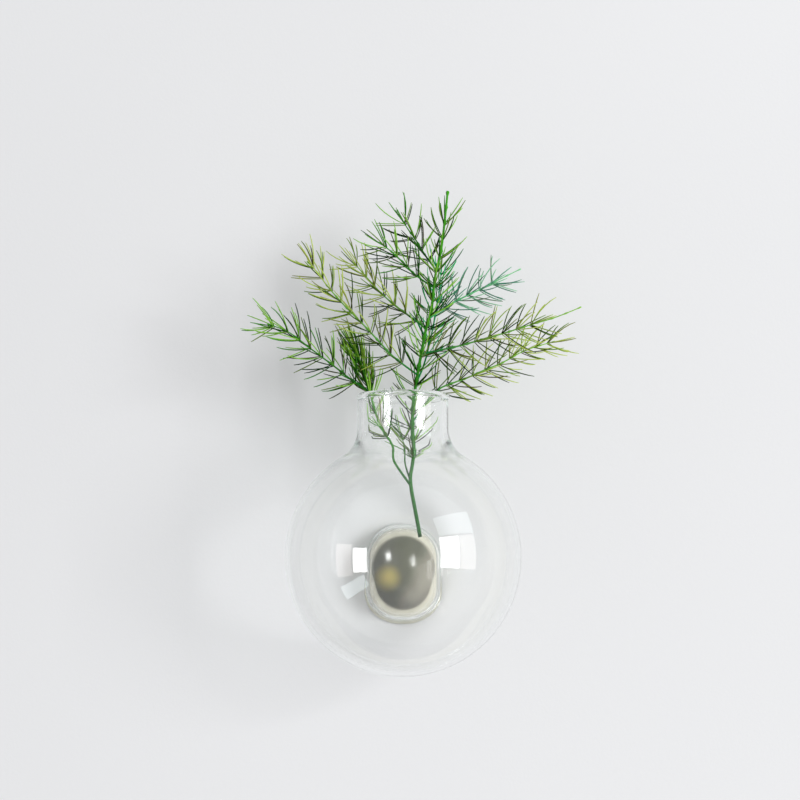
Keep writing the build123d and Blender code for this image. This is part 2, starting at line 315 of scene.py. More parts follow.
@dataclass(frozen=True)
class ClearGlass:
    """Clear blown glass, faintly green where it is thick, that lets most of the lamps' light through."""

    index: float = 1.5
    tint: Colour = (1.0, 1.0, 1.0)
    passed: Colour = (0.35, 0.92, 0.74)
    density: float = 4.0
    clear_share: float = 0.997
    edge_shadow: float = 0.97
    edge_power: float = 4.0
    calm_share: float = 0.8
    window_half_width: float = 18.0
    window_half_height: float = 23.0
    window_back: float = -9.0
    window_front: float = -14.0
    window_limit: float = -50.0
    window_fade: float = 1.0
    window_rim: float = 1.2
    throat_share: float = 0.65
    throat_z: float = 52.0
    throat_reach: float = 4.5
    throat_inner: float = 16.0
    throat_outer: float = 19.0
    ripple_size: float = 26.0
    ripple_depth: float = 0.025

    def material(self) -> bpy.types.Material:
        """The glass, which diffuse light passes straight through, and the lamps' light except at its edges.

        The thin window ahead of the peg's cap mirrors and bends less than the rest, and so do the sides of
        the throat, where the wall's taper would trap the light.

        Returns:
            The material, clear by the largest of four masks: the shadow's, the diffuse light's, the
            window's and the throat's.
        """
        shader = Shader.of_material("blown_glass")
        ripple = shader.bump(shader.noise(self.ripple_size, detail=0.0), self.ripple_depth)
        glass = shader.value(
            "ShaderNodeBsdfPrincipled",
            inputs={
                "Base Color": (*self.tint, 1.0),
                "Roughness": 0.0,
                "IOR": self.index,
                "Transmission Weight": 1.0,
                "Normal": ripple,
            },
        )
        clear = shader.value("ShaderNodeBsdfTransparent", inputs={0: (*self.tint, 1.0)})
        facing = shader.value("ShaderNodeLayerWeight", output="Facing")
        lit = shader.sight("Is Shadow Ray") * (self.clear_share - self.edge_shadow * facing**self.edge_power)
        passed = shader.math("MAXIMUM", lit, shader.sight("Is Diffuse Ray"))
        x, y, z = shader.axes()
        across, up = x * (1 / self.window_half_width), z * (1 / self.window_half_height)
        window = (across * across + up * up).eased(self.window_rim, 1.0)
        window = window * y.eased(self.window_back, self.window_front)
        window = window * y.eased(self.window_limit - self.window_fade, self.window_limit)
        throat = shader.math("ABSOLUTE", z - self.throat_z).eased(self.throat_reach, self.throat_reach / 2)
        throat = throat * shader.math("ABSOLUTE", x).eased(self.throat_inner, self.throat_outer)
        calm = shader.math("MAXIMUM", self.calm_share * window, self.throat_share * throat)
        share = shader.math("MAXIMUM", passed, calm)
        surface = shader.value("ShaderNodeMixShader", inputs={0: share, 1: glass, 2: clear})
        volume = shader.value(
            "ShaderNodeVolumeAbsorption", inputs={"Color": (*self.passed, 1.0), "Density": self.density}
        )
        return shader.finish(surface, volume)


@dataclass(frozen=True)
class Patchy:
    """What moulded and turned surfaces share: two close tones and a gloss that change in patches."""

    name: str
    light: Colour
    dark: Colour
    roughness: float = 0.5
    roughness_spread: float = 0.12
    patch_size: float = 6.0
    patch_detail: float = 3.0
    patch_from: float = 0.35
    patch_to: float = 0.65

    def patches(self, shader: Shader) -> dict[str, Value]:
        """The patches, for a Principled shader.

        Args:
            shader: the material's.

        Returns:
            The colour and the roughness by the names of their sockets.
        """
        noise = shader.noise(self.patch_size, self.patch_detail)
        lighter = noise.eased(self.patch_from, self.patch_to)
        return {
            "Base Color": shader.mix(lighter, self.dark, self.light),
            "Roughness": self.roughness + self.roughness_spread * (noise - 0.5),
        }


@dataclass(frozen=True)
class Moulded(Patchy):
    """A moulded or rubber surface with a fine grain."""

    grain_size: float = 0.35
    grain_depth: float = 0.02
    softness: float = 0.0
    bleed: Colour = (1.0, 0.9, 0.7)

    def material(self) -> bpy.types.Material:
        """The finish as a material.

        Returns:
            The material.
        """
        shader = Shader.of_material(self.name)
        inputs = {
            **self.patches(shader),
            "Subsurface Weight": self.softness,
            "Subsurface Radius": self.bleed,
            "Subsurface Scale": MM,
            "Normal": shader.bump(shader.noise(self.grain_size), self.grain_depth),
        }
        return shader.finish(shader.value("ShaderNodeBsdfPrincipled", inputs=inputs))


@dataclass(frozen=True)
class TurnedMetal(Patchy):
    """Metal turned on a lathe: fine rings about the peg's axis, with a cloudy patina."""

    roughness: float = 0.28
    roughness_spread: float = 0.2
    patch_size: float = 3.0
    patch_detail: float = 4.0
    patch_from: float = 0.3
    patch_to: float = 0.7
    ring_pitch: float = 0.25
    ring_depth: float = 0.012

    def material(self) -> bpy.types.Material:
        """The finish as a material, whose rings are the sine of the distance from the axis plus the depth.

        Returns:
            The material.
        """
        shader = Shader.of_material(self.name)
        x, y, z = shader.axes()
        distance = shader.math("SQRT", x * x + z * z) + y
        rings = 0.5 + 0.5 * shader.math("SINE", distance * (2 * math.pi / self.ring_pitch))
        normal = shader.bump(rings, self.ring_depth)
        inputs = {**self.patches(shader), "Metallic": 1.0, "Normal": normal}
        return shader.finish(shader.value("ShaderNodeBsdfPrincipled", inputs=inputs))


@dataclass(frozen=True)
class SmokyDome:
    """The cap's smoky dome: dark olive, with painted light: paler to its lower right where the window's light
    falls, a paler painted rim, and a painted warm glow of focused light on its left.

    Its gloss follows a rounder dome than the cap's front, whose top stands above the cap's middle.
    """

    half_width: float = 14.2
    half_height: float = 16.6
    dome_radius: float = 19.0
    dome_top: float = 10.0
    dome_floor: float = 2.0
    # Painted light: the first colour is the dome's shaded side, the second its side lit from the window, the
    # third a paler painted rim and the fourth a painted warm glow of focused light.
    deep: Colour = (0.085, 0.09, 0.05)
    painted_lit_olive: Colour = (0.40, 0.375, 0.30)
    rim: Colour = (0.60, 0.57, 0.44)
    painted_glow: Colour = (0.72, 0.58, 0.13)
    painted_glow_x: float = -7.0
    painted_glow_z: float = -2.2
    painted_glow_radius: float = 7.6
    painted_glow_share: float = 0.9
    drop_share: float = 0.65
    cloud_size: float = 7.0
    cloud_share: float = 0.5
    lit_from: float = 0.05
    lit_to: float = 1.0
    rim_light_from: float = 0.94
    rim_light_to: float = 1.07
    roughness: float = 0.14
    roughness_spread: float = 0.04
    index: float = 1.6

    def material(self) -> bpy.types.Material:
        """The finish as a material.

        Its normal follows a dome whose height is the square root of the dome's radius squared less the
        squares of the distances across and from its top. Below the top it is drawn out to the cap's foot.
        Its colour holds painted light: paler toward the lower right where the window's light falls, paler
        at the rim, and warm in a painted glow on the left, where light would gather inside the dome.

        Returns:
            The material.
        """
        shader = Shader.of_material("smoky_dome_painted_light")
        x, _, z = shader.axes()
        across, up = x * (1 / self.half_width), z * (1 / self.half_height)
        out = shader.math("SQRT", across * across + up * up)
        from_painted_glow = shader.math("SQRT", (x - self.painted_glow_x) ** 2 + (z - self.painted_glow_z) ** 2)
        from_top = z - self.dome_top
        above = shader.math("MAXIMUM", from_top, 0.0)
        drawn_out = self.dome_radius / (self.half_height + self.dome_top)
        below = shader.math("MINIMUM", from_top, 0.0) * drawn_out
        room = self.dome_radius**2 - x * x - above * above - below * below
        dome = shader.math("SQRT", shader.math("MAXIMUM", room, self.dome_floor))
        cloud = shader.noise(self.cloud_size)
        # Painted light: a share that grows toward the lower right, where the window's light falls, with
        # clouds in it.
        window_lit_share = across - self.drop_share * up + self.cloud_share * (cloud - 0.5)
        body = shader.mix(window_lit_share.eased(self.lit_from, self.lit_to), self.deep, self.painted_lit_olive)
        # Painted light: a warm glow painted on the left, where the window's light would gather inside the
        # dome.
        with_painted_glow = shader.mix(self.painted_glow_share * from_painted_glow.eased(self.painted_glow_radius, 0.0), body, self.painted_glow)
        surface = shader.value(
            "ShaderNodeBsdfPrincipled",
            inputs={
                # Painted light: the dome is painted paler at its rim.
                "Base Color": shader.mix(out.eased(self.rim_light_from, self.rim_light_to), with_painted_glow, self.rim),
                "Roughness": self.roughness + self.roughness_spread * cloud,
                "IOR": self.index,
                "Normal": shader.bump(dome, 1.0),
            },
        )
        return shader.finish(surface)


class Tint(Enum):
    """The greens of a shoot: its stem's foot and tip, then its needles' foot, middle and tip."""

    DEEP = (
        (0.003, 0.10, 0.008), (0.07, 0.38, 0.02),
        (0.003, 0.03, 0.001), (0.05, 0.28, 0.015), (0.28, 0.60, 0.07),
    )
    BRIGHT = (
        (0.01, 0.22, 0.02), (0.12, 0.46, 0.03),
        (0.01, 0.08, 0.003), (0.09, 0.34, 0.014), (0.34, 0.64, 0.06),
    )
    EMERALD = (
        (0.004, 0.24, 0.05), (0.02, 0.42, 0.11),
        (0.002, 0.06, 0.008), (0.006, 0.33, 0.09), (0.06, 0.56, 0.20),
    )
    TEAL = (
        (0.03, 0.36, 0.11), (0.24, 0.66, 0.30),
        (0.05, 0.20, 0.13), (0.16, 0.44, 0.29), (0.28, 0.62, 0.36),
    )
    OLIVE = (
        (0.01, 0.22, 0.05), (0.30, 0.62, 0.07),
        (0.014, 0.05, 0.002), (0.19, 0.36, 0.025), (0.55, 0.68, 0.14),
    )


@dataclass(frozen=True)
class Leafage:
    """Waxy fresh greens that change from a shoot's foot to its tip and from needle to needle."""

    tint: Tint
    young_age: float = 0.2
    middle_age: float = 0.45
    ripe_age: float = 0.75
    first_age: float = 0.19
    age_by_growth: float = 0.5
    age_by_tone: float = 1.05
    age_by_place: float = 0.3
    rust: Colour = (0.085, 0.06, 0.015)
    rust_share: float = 0.65
    rust_rounds: float = 7.0
    rust_from: float = 0.78
    rust_to: float = 0.84
    cut_share: float = 0.8
    cut_start: float = 0.006
    cut_end: float = 0.012
    streak_size: float = 0.9
    streak_depth: float = 0.04
    streak_share: float = 0.35
    streak_from: float = 0.45
    streak_to: float = 0.8
    roughness: float = 0.42
    roughness_spread: float = 0.2
    gloss: float = 0.05

    def material(self) -> bpy.types.Material:
        """The finish as a material, which reads the numbers that a foliage mesh carries.

        A needle's age grows with its place on the shoot, its own tone and the place along it. Some needles
        are rusty, the cut end of a stem is dark, and darker streaks run over all.

        Returns:
            The material.
        """
        shader = Shader.of_material("fresh_" + self.tint.name.lower())
        stem_foot, stem_tip, needle_foot, needle_middle, needle_tip = self.tint.value
        growth, along = shader.attribute("growth"), shader.attribute("along")
        tone, is_needle = shader.attribute("tone"), shader.attribute("is_needle")
        streaks = shader.noise(self.streak_size, detail=3.0)
        age = self.first_age + self.age_by_growth * growth
        age = age + self.age_by_tone * (tone - 0.5) + self.age_by_place * (along - 0.5)
        stops = [(self.young_age, needle_foot), (self.middle_age, needle_middle), (self.ripe_age, needle_tip)]
        rusty = shader.math("FRACT", self.rust_rounds * tone).eased(self.rust_from, self.rust_to)
        needle = shader.mix(self.rust_share * rusty, shader.ramp(age, stops), self.rust)
        cut = growth.eased(self.cut_end, self.cut_start)
        stem = shader.mix(self.cut_share * cut, shader.mix(growth, stem_foot, stem_tip), needle_foot)
        streaked = streaks.eased(self.streak_from, self.streak_to)
        green = shader.mix(is_needle, stem, needle)
        surface = shader.value(
            "ShaderNodeBsdfPrincipled",
            inputs={
                "Base Color": shader.mix(self.streak_share * streaked, green, needle_foot),
                "Roughness": self.roughness + self.roughness_spread * (streaks - 0.5),
                "Specular IOR Level": self.gloss,
                "Normal": shader.bump(streaks, self.streak_depth),
            },
        )
        return shader.finish(surface)


class Sheets:
    """Points and faces gathered from several closed surfaces into one mesh."""

    def __init__(self) -> None:
        """Starts with nothing."""
        self.points: list[np.ndarray] = []
        self.faces: list[list[int]] = []
        self.numbers: list[dict[str, np.ndarray]] = []

    def add(self, points: np.ndarray, faces: list[np.ndarray], **numbers: np.ndarray) -> None:
        """Adds one surface.

        Args:
            points: its points, in millimetres.
            faces: arrays of faces, each of one number of corners.
            numbers: values that its points carry, by name.
        """
        start = sum(len(earlier) for earlier in self.points)
        self.points.append(points)
        for group in faces:
            self.faces += (group + start).tolist()
        self.numbers.append(numbers)

    def piece(self, name: str, material: bpy.types.Material) -> bpy.types.Object:
        """Makes the mesh object, in metres.

        Args:
            name: its name.
            material: its material.

        Returns:
            The object, at the origin.
        """
        mesh = bpy.data.meshes.new(name)
        mesh.from_pydata(np.vstack(self.points) * MM, [], self.faces)
        mesh.polygons.foreach_set("use_smooth", np.ones(len(mesh.polygons), bool))
        for key in self.numbers[0]:
            attribute = mesh.attributes.new(key, "FLOAT", "POINT")
            values = np.concatenate([numbers[key] for numbers in self.numbers])
            attribute.data.foreach_set("value", values.astype(np.float32))
        mesh.materials.append(material)
        mesh.update()
        made = bpy.data.objects.new(name, mesh)
        bpy.context.scene.collection.objects.link(made)
        return made


def curve_through(points: np.ndarray, count: int) -> np.ndarray:
    """A smooth curve of quadratic arcs between the middles of the runs, with the points as their corners.

    Args:
        points: the route.
        count: how many places each arc gets.

    Returns:
        Places along the curve, which starts and ends at the route's ends.
    """
    middles = (points[:-1] + points[1:]) / 2
    starts = np.vstack([points[:1], middles[1:-1]])
    ends = np.vstack([middles[1:-1], points[-1:]])
    share = np.linspace(0, 1, count)[None, :, None]
    arcs = (1 - share) ** 2 * starts[:, None] + 2 * share * (1 - share) * points[1:-1, None]
    arcs = arcs + share**2 * ends[:, None]
    return np.vstack([arcs[:, :-1].reshape(-1, 3), points[-1:]])


def even_places(curve: np.ndarray, spacing: float) -> tuple[np.ndarray, float]:
    """The same curve at even steps.

    Args:
        curve: places along it.
        spacing: about how far apart the new ones are.

    Returns:
        The places and the curve's length.
    """
    steps = np.linalg.norm(np.diff(curve, axis=0), axis=1)
    reached = np.concatenate([[0], np.cumsum(steps)])
    wanted = np.linspace(0, reached[-1], max(int(reached[-1] / spacing), 3) + 1)
    return np.stack([np.interp(wanted, reached, curve[:, axis]) for axis in range(3)], axis=1), reached[-1]


def tube(path: np.ndarray, radii: np.ndarray, sides: int) -> tuple[np.ndarray, list[np.ndarray]]:
    """A closed round tube: at each place a ring of radius times cosine aside plus sine toward the wall.

    Args:
        path: its centre line.
        radii: its radius at each place.
        sides: corners in a ring.

    Returns:
        Its points, rings first and then the two end points, and its faces.
    """
    along = unit(np.gradient(path, axis=0))
    aside = unit(np.cross(along, WALL_NORMAL))
    toward = np.cross(aside, along)
    angle = np.linspace(0, 2 * np.pi, sides, endpoint=False)[None, :, None]
    around = np.cos(angle) * aside[:, None] + np.sin(angle) * toward[:, None]
    rings = path[:, None] + radii[:, None, None] * around
    last = len(path) - 1
    ring, corner = np.meshgrid(np.arange(last), np.arange(sides), indexing="ij")
    onward = (corner + 1) % sides
    here, there = ring * sides, (ring + 1) * sides
    quads = np.stack([here + corner, here + onward, there + onward, there + corner], -1)
    foot, tip = (last + 1) * sides, (last + 1) * sides + 1
    corners = np.arange(sides)
    after = (corners + 1) % sides
    foot_fan = np.stack([np.full(sides, foot), after, corners], -1)
    tip_fan = np.stack([np.full(sides, tip), last * sides + corners, last * sides + after], -1)
    points = np.vstack([rings.reshape(-1, 3), path[:1], path[-1:]])
    return points, [quads.reshape(-1, 4)[:, ::-1], foot_fan[:, ::-1], tip_fan[:, ::-1]]


@dataclass(frozen=True)
class Shoot:
    """A stem or branch: its route in shares of the sprig's length from its foot, and its needles."""

    route_shares: list[tuple[float, float, float]]
    foot_radius: float
    tip_radius: float
    whorl_needles: int
    bare_share: float
    tint: Tint
    bare_whorls: int = 0
    pitch_share: float = 1.0
    lean_share: float = 1.0


@dataclass
class Sprig:
    """The cut sprig: four stems and nine branches with whorls of curved needles."""

    length: float = 146.0
    stem_radius: float = 0.85
    shoot_radius: float = 0.55
    twig_radius: float = 0.42
    tip_radius: float = 0.2
    leader_radius: float = 0.45
    knot_growth: float = 0.8
    knot_half_length: float = 0.7
    arc_places: int = 24
    ring_spacing: float = 0.7
    stem_sides: int = 10
    whorl_pitch: float = 6.3
    whorl_scatter: float = 1.1
    turn_scatter_share: float = 0.7
    tip_setback: float = 0.8
    needle_length: float = 17.5
    needle_radius: float = 0.24
    needle_sides: int = 4
    needle_profile: tuple[float, ...] = (0.7, 0.9, 1.0, 1.0, 0.9, 0.5)
    needle_bow: float = 0.12
    bow_scatter: float = 0.8
    foot_lean: float = 62.0
    lean_fall: float = 24.0
    lean_scatter: float = 13.0
    reach_share: float = 0.82
    reach_fall: float = 0.14
    reach_scatter: float = 0.18
    flatness_share: float = 0.55
    extra_needles: int = 4
    neck_radius: float = 19.5
    neck_wall: float = 2.4
    lip_bead: float = 1.6
    lean_gap: float = 0.3
    rim_z: float = 76.5
    rim_y: float = -48.67
    glass_clearance: float = 0.8

    def shoots(self) -> dict[str, Shoot]:
        """The shoots by the names of the nodes that they stand for.

        Returns:
            Each shoot, with its route as (x, depth toward the wall, z) shares.
        """
        twig, tip = self.twig_radius, self.tip_radius
        return {
            "main_stem": Shoot(
                [
                    (0.052, 0.075, -0.417), (0.040, 0.072, -0.352), (0.020, 0.065, -0.249),
                    (0.029, 0.062, -0.205), (0.034, 0.055, -0.162), (0.028, 0.048, -0.104),
                    (0.031, 0.038, -0.017), (0.046, 0.027, 0.073), (0.059, 0.021, 0.142),
                    (0.069, 0.014, 0.196), (0.086, 0.007, 0.251), (0.092, 0.000, 0.316),
                    (0.099, -0.007, 0.367), (0.112, -0.014, 0.409), (0.123, -0.027, 0.496),
                    (0.133, -0.041, 0.597),
                ],
                self.stem_radius, self.leader_radius, 4, 0.24, Tint.DEEP, 2,
            ),
            "left_stem": Shoot(
                [
                    (0.022, 0.066, -0.262), (-0.013, 0.055, -0.215), (-0.030, 0.048, -0.186),
                    (-0.027, 0.041, -0.154), (-0.059, 0.037, -0.105), (-0.080, 0.040, -0.061),
                    (-0.096, 0.048, -0.011), (-0.101, 0.044, 0.010),
                ],
                self.shoot_radius, twig, 4, 0.5, Tint.DEEP,
            ),
            "middle_stem": Shoot(
                [
                    (0.020, 0.067, -0.240), (0.005, 0.078, -0.200), (0.008, 0.082, -0.160),
                    (-0.004, 0.085, -0.107),
                ],
                twig, tip, 3, 0.9, Tint.DEEP,
            ),
            "rear_stem": Shoot(
                [
                    (0.037, 0.034, 0.030), (0.061, 0.055, 0.079), (0.082, 0.065, 0.163),
                    (0.099, 0.075, 0.247), (0.111, 0.082, 0.313), (0.117, 0.089, 0.388),
                ],
                twig, tip, 4, 0.3, Tint.EMERALD,
            ),
            "branch_a": Shoot(
                [
                    (0.099, -0.007, 0.367), (0.066, 0.010, 0.414), (0.046, 0.024, 0.455),
                    (0.004, 0.045, 0.517), (-0.017, 0.058, 0.564),
                ],
                twig, tip, 6, 0.25, Tint.DEEP, 1,
            ),
            "branch_b": Shoot(
                [
                    (0.092, 0.000, 0.316), (0.037, -0.017, 0.348), (0.008, -0.027, 0.381),
                    (-0.047, -0.045, 0.428), (-0.071, -0.051, 0.442),
                ],
                twig, tip, 6, 0.2, Tint.DEEP,
            ),
            "branch_c": Shoot(
                [
                    (0.069, 0.014, 0.196), (0.005, 0.031, 0.246), (-0.060, 0.048, 0.301),
                    (-0.114, 0.065, 0.366), (-0.150, 0.073, 0.408),
                ],
                twig, tip, 6, 0.15, Tint.OLIVE,
            ),
            "branch_d": Shoot(
                [
                    (0.043, 0.027, 0.060), (-0.027, 0.001, 0.107), (-0.060, -0.012, 0.143),
                    (-0.112, -0.031, 0.198), (-0.170, -0.045, 0.254), (-0.227, -0.058, 0.318),
                    (-0.250, -0.065, 0.354), (-0.279, -0.072, 0.381),
                ],
                twig, tip, 5, 0.12, Tint.OLIVE,
            ),
            "branch_e": Shoot(
                [
                    (-0.101, 0.044, 0.010), (-0.120, 0.034, 0.026), (-0.160, 0.014, 0.049),
                    (-0.195, -0.007, 0.077), (-0.260, -0.038, 0.122), (-0.327, -0.068, 0.173),
                    (-0.361, -0.075, 0.186), (-0.392, -0.081, 0.195),
                ],
                twig, tip, 6, 0.12, Tint.DEEP,
            ),
            "branch_f": Shoot(
                [
                    (-0.098, 0.047, -0.004), (-0.108, 0.062, 0.050), (-0.127, 0.076, 0.103),
                    (-0.148, 0.087, 0.149), (-0.158, 0.092, 0.167),
                ],
                twig, tip, 8, 0.15, Tint.BRIGHT, 0, 0.45, 0.4,
            ),
            "branch_g": Shoot(
                [
                    (0.078, 0.010, 0.225), (0.131, 0.031, 0.266), (0.187, 0.048, 0.298),
                    (0.258, 0.068, 0.334), (0.288, 0.075, 0.353), (0.357, 0.092, 0.389),
                ],
                twig, tip, 5, 0.15, Tint.TEAL, 2,
            ),
            "branch_h": Shoot(
                [
                    (0.055, 0.022, 0.122), (0.147, 0.000, 0.136), (0.229, -0.021, 0.157),
                    (0.307, -0.041, 0.177), (0.375, -0.055, 0.198), (0.452, -0.072, 0.217),
                    (0.518, -0.082, 0.245),
                ],
                twig, tip, 5, 0.12, Tint.OLIVE, 3,
            ),
            "branch_i": Shoot(
                [
                    (0.029, 0.045, -0.080), (0.061, 0.045, -0.036), (0.100, 0.041, 0.019),
                    (0.156, 0.055, 0.041), (0.199, 0.065, 0.057), (0.241, 0.075, 0.079),
                    (0.298, 0.086, 0.101), (0.346, 0.096, 0.132), (0.397, 0.106, 0.154),
                    (0.460, 0.118, 0.172),
                ],
                twig, tip, 5, 0.22, Tint.OLIVE,
            ),
        }

    def foot(self, shoots: dict[str, Shoot]) -> np.ndarray:
        """Where the routes are measured from: the rim's centre, moved until the left stem leans on the lip.

        Args:
            shoots: the shoots by name.

        Returns:
            The foot, in millimetres.
        """
        leaning = self.length * np.array(shoots["left_stem"].route_shares[-2])
        leaning[2] = 0
        wanted = self.neck_radius - self.neck_wall / 2 - self.lip_bead - self.lean_gap - self.twig_radius
        rim = np.array([0, self.rim_y, self.rim_z])
        return rim + (wanted - np.linalg.norm(leaning)) * unit(leaning)

    def clear_of_glass(self, points: np.ndarray) -> np.ndarray:
        """Points below the lip, brought straight in to the bore's clearance or out past the neck's.

        A needle whose foot is in the neck stays inside it.

        Args:
            points: places, in millimetres, foot first along the last axis but one.

        Returns:
            The same places with those near the neck's wall moved aside.
        """
        offset = points[..., :2] - np.array([0, self.rim_y])
        spread = np.linalg.norm(offset, axis=-1)
        middle = self.neck_radius - self.neck_wall / 2
        keep = self.lip_bead + self.glass_clearance
        held = (spread[..., :1] < middle) & (points[..., :1, 2] < self.rim_z)
        inner, outer = np.minimum(spread, middle - keep), np.maximum(spread, middle + keep)
        allowed = np.where(held | (spread < middle), inner, outer)
        low = 1 - smooth_step(self.rim_z, self.rim_z + 3 * self.lip_bead, points[..., 2])
        scale = 1 + low * (allowed / np.maximum(spread, self.tip_radius) - 1)
        moved = points.copy()
        moved[..., :2] = np.array([0, self.rim_y]) + offset * scale[..., None]
        return moved

    def needles(self, path: np.ndarray, length: float, shoot: Shoot) -> tuple:
        """A shoot's needles as closed spindles.

        Each centre line is a quadratic arc from its knot, bowed outward, to an end that leans from the shoot
        by 62 degrees at its foot and 38 at its tip, give or take 13, times the shoot's lean share. Each
        stands at 137.5 degrees round the shoot from the one before. A ring of corners at each place along
        the line has the profile's share of the needle's radius. The whole multiples of an index keep the
        scatters of places, leans, reaches, bows and tones apart.

        Args:
            path: the shoot's centre line at even steps.
            length: its length.
            shoot: the shoot.

        Returns:
            The points, the faces, and the numbers that the points carry.
        """
        pitch = self.whorl_pitch * shoot.pitch_share
        last = int(length * (1 - shoot.bare_share) / pitch)
        whorl_count = last + 1 - shoot.bare_whorls
        per_whorl = shoot.whorl_needles + round(self.extra_needles * shoot.pitch_share)
        whorl = np.repeat(np.arange(whorl_count), per_whorl)
        turn = np.tile(np.arange(per_whorl), whorl_count)
        scatter = wobble(13 * whorl + len(path)) + self.turn_scatter_share * wobble(5 * turn + 3 * whorl)
        scatter = self.whorl_scatter * scatter
        from_tip = self.tip_setback + (last - whorl) * pitch + scatter + 2 * self.whorl_scatter
        share = 1 - from_tip / length
        index = whorl * shoot.whorl_needles + turn + len(path) * (turn >= shoot.whorl_needles)
        spot = share * (len(path) - 1)
        near = np.clip(spot.astype(int), 0, len(path) - 2)
        place = path[near] + (spot - near)[:, None] * (path[near + 1] - path[near])
        onward = unit(path[near + 1] - path[near])
        aside = unit(np.cross(onward, WALL_NORMAL))
        toward = np.cross(aside, onward)
        azimuth = np.radians(TURN_PER_NEEDLE * index)
        degrees = self.foot_lean - self.lean_fall * share + self.lean_scatter * wobble(index)
        lean = shoot.lean_share * np.radians(degrees)
        outward = np.cos(azimuth)[:, None] * aside + self.flatness_share * np.sin(azimuth)[:, None] * toward
        reach = self.reach_share - self.reach_fall * share**2 + self.reach_scatter * wobble(3 * index + 1)
        reach = self.needle_length * reach
        end = place + reach[:, None] * unit(np.cos(lean)[:, None] * onward + np.sin(lean)[:, None] * outward)
        bow = self.needle_bow * (1 + self.bow_scatter * wobble(5 * index + 2)) * reach
        middle = (place + end) / 2 + bow[:, None] * unit(outward)
        rings, sides = len(self.needle_profile), self.needle_sides
        step = np.linspace(0, 1, rings)[None, :, None]
        line = (1 - step) ** 2 * place[:, None] + 2 * step * (1 - step) * middle[:, None]
        line = self.clear_of_glass(line + step**2 * end[:, None])
        forward = unit(np.gradient(line, axis=1))
        across = unit(np.cross(forward, toward[:, None]))
        over = np.cross(across, forward)
        thickness = self.needle_radius * np.array(self.needle_profile)[None, :, None, None]
        angle = (np.arange(sides) * 2 * np.pi / sides)[None, None, :, None]
        around = np.cos(angle) * across[:, :, None] + np.sin(angle) * over[:, :, None]
        points = line[:, :, None] + thickness * around
        corners, count = np.arange(sides), len(index)
        ring, corner = np.meshgrid(np.arange(rings - 1), corners, indexing="ij")
        here, there, after = ring * sides, (ring + 1) * sides, (corner + 1) % sides
        quads = np.stack([here + corner, there + corner, there + after, here + after], -1)
        ends = np.stack([corners, corners[::-1] + (rings - 1) * sides])
        start = np.arange(count)[:, None, None] * rings * sides
        faces = [
            (group.reshape(1, -1, group.shape[-1]) + start).reshape(-1, group.shape[-1])
            for group in (quads, ends)
        ]
        numbers = {
            "growth": np.repeat(share, rings * sides),
            "along": np.tile(np.repeat(np.linspace(0, 1, rings), sides), count),
            "tone": np.repeat(0.5 + 0.5 * wobble(7 * index + 3), rings * sides),
            "is_needle": np.ones(count * rings * sides),
        }
        return points.reshape(-1, 3), faces, numbers

    def stem(self, path: np.ndarray, length: float, shoot: Shoot) -> tuple:
        """A shoot's stem: a tapered tube with a small knot at each whorl.

        Args:
            path: its centre line at even steps.
            length: its length.
            shoot: the shoot.

        Returns:
            The points, the faces, and the numbers that the points carry.
        """
        share = np.linspace(0, 1, len(path))
        radii = shoot.foot_radius + share * (shoot.tip_radius - shoot.foot_radius)
        from_tip = (1 - share) * length - self.tip_setback
        pitch = self.whorl_pitch * shoot.pitch_share
        beside = (from_tip + pitch / 2) % pitch - pitch / 2
        knots = np.exp(-((beside / self.knot_half_length) ** 2)) * (share > shoot.bare_share)
        points, faces = tube(path, radii * (1 + self.knot_growth * knots), self.stem_sides)
        growth = np.concatenate([np.repeat(share, self.stem_sides), [0, 1]])
        nothing = np.zeros(len(points))
        numbers = {"growth": growth, "along": nothing, "tone": nothing + 0.5, "is_needle": nothing}
        return points, faces, numbers

    def build(self) -> None:
        """Builds each shoot as one piece that stands for its node."""
        shoots = self.shoots()
        foot = self.foot(shoots)
        finishes = {tint: Leafage(tint).material() for tint in Tint}
        for name, shoot in shoots.items():
            route = foot + self.length * np.array(shoot.route_shares)
            path, length = even_places(curve_through(route, self.arc_places), self.ring_spacing)
            sheets = Sheets()
            for surface in (self.stem, self.needles):
                points, faces, numbers = surface(path, length, shoot)
                sheets.add(points, faces, **numbers)
            piece = sheets.piece(name + "_foliage", finishes[shoot.tint])
            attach(piece, "sprig")
            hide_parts(name)
            log.info("%s: %d faces", piece.name, len(piece.data.polygons))


@dataclass
class WallMount:
    """The peg and its fixings, which keep their CAD shapes and get their finishes."""

    sleeve: Moulded = Moulded("ivory_sleeve", (0.70, 0.68, 0.56), (0.62, 0.60, 0.49), 0.5, softness=0.15)
    core: Moulded = Moulded("core_plastic", (0.74, 0.72, 0.64), (0.66, 0.64, 0.57), 0.55)
    pad: Moulded = Moulded("soft_pad", (0.40, 0.41, 0.40), (0.33, 0.34, 0.33), 0.75, grain_depth=0.05)
    plug: Moulded = Moulded("plug_nylon", (0.62, 0.62, 0.60), (0.55, 0.55, 0.53), 0.45)
    screw: TurnedMetal = TurnedMetal("turned_brass", (0.80, 0.62, 0.30), (0.55, 0.40, 0.18))
    washer: TurnedMetal = TurnedMetal("zinc_steel", (0.66, 0.66, 0.64), (0.50, 0.50, 0.49), ring_pitch=0.18)
    cap: SmokyDome = SmokyDome()

    def build(self) -> None:
        """Dresses each node of the mount."""
        finishes = {
            "peg_sleeve": self.sleeve,
            "peg_core": self.core,
            "back_pad": self.pad,
            "wall_plug": self.plug,
            "mounting_screw": self.screw,
            "screw_washer": self.washer,
            "peg_cap": self.cap,
        }
        for name, finish in finishes.items():
            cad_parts[name].material_slots[0].material = finish.material()
            log.info("%s: dressed", name)


@dataclass
class Vessel:
    """The blown glass vessel, which keeps its CAD shape."""

    glass: ClearGlass = ClearGlass()

    def build(self) -> None:
        """Dresses the vessel's node."""
        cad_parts["glass_vessel"].material_slots[0].material = self.glass.material()
        log.info("glass_vessel: dressed")


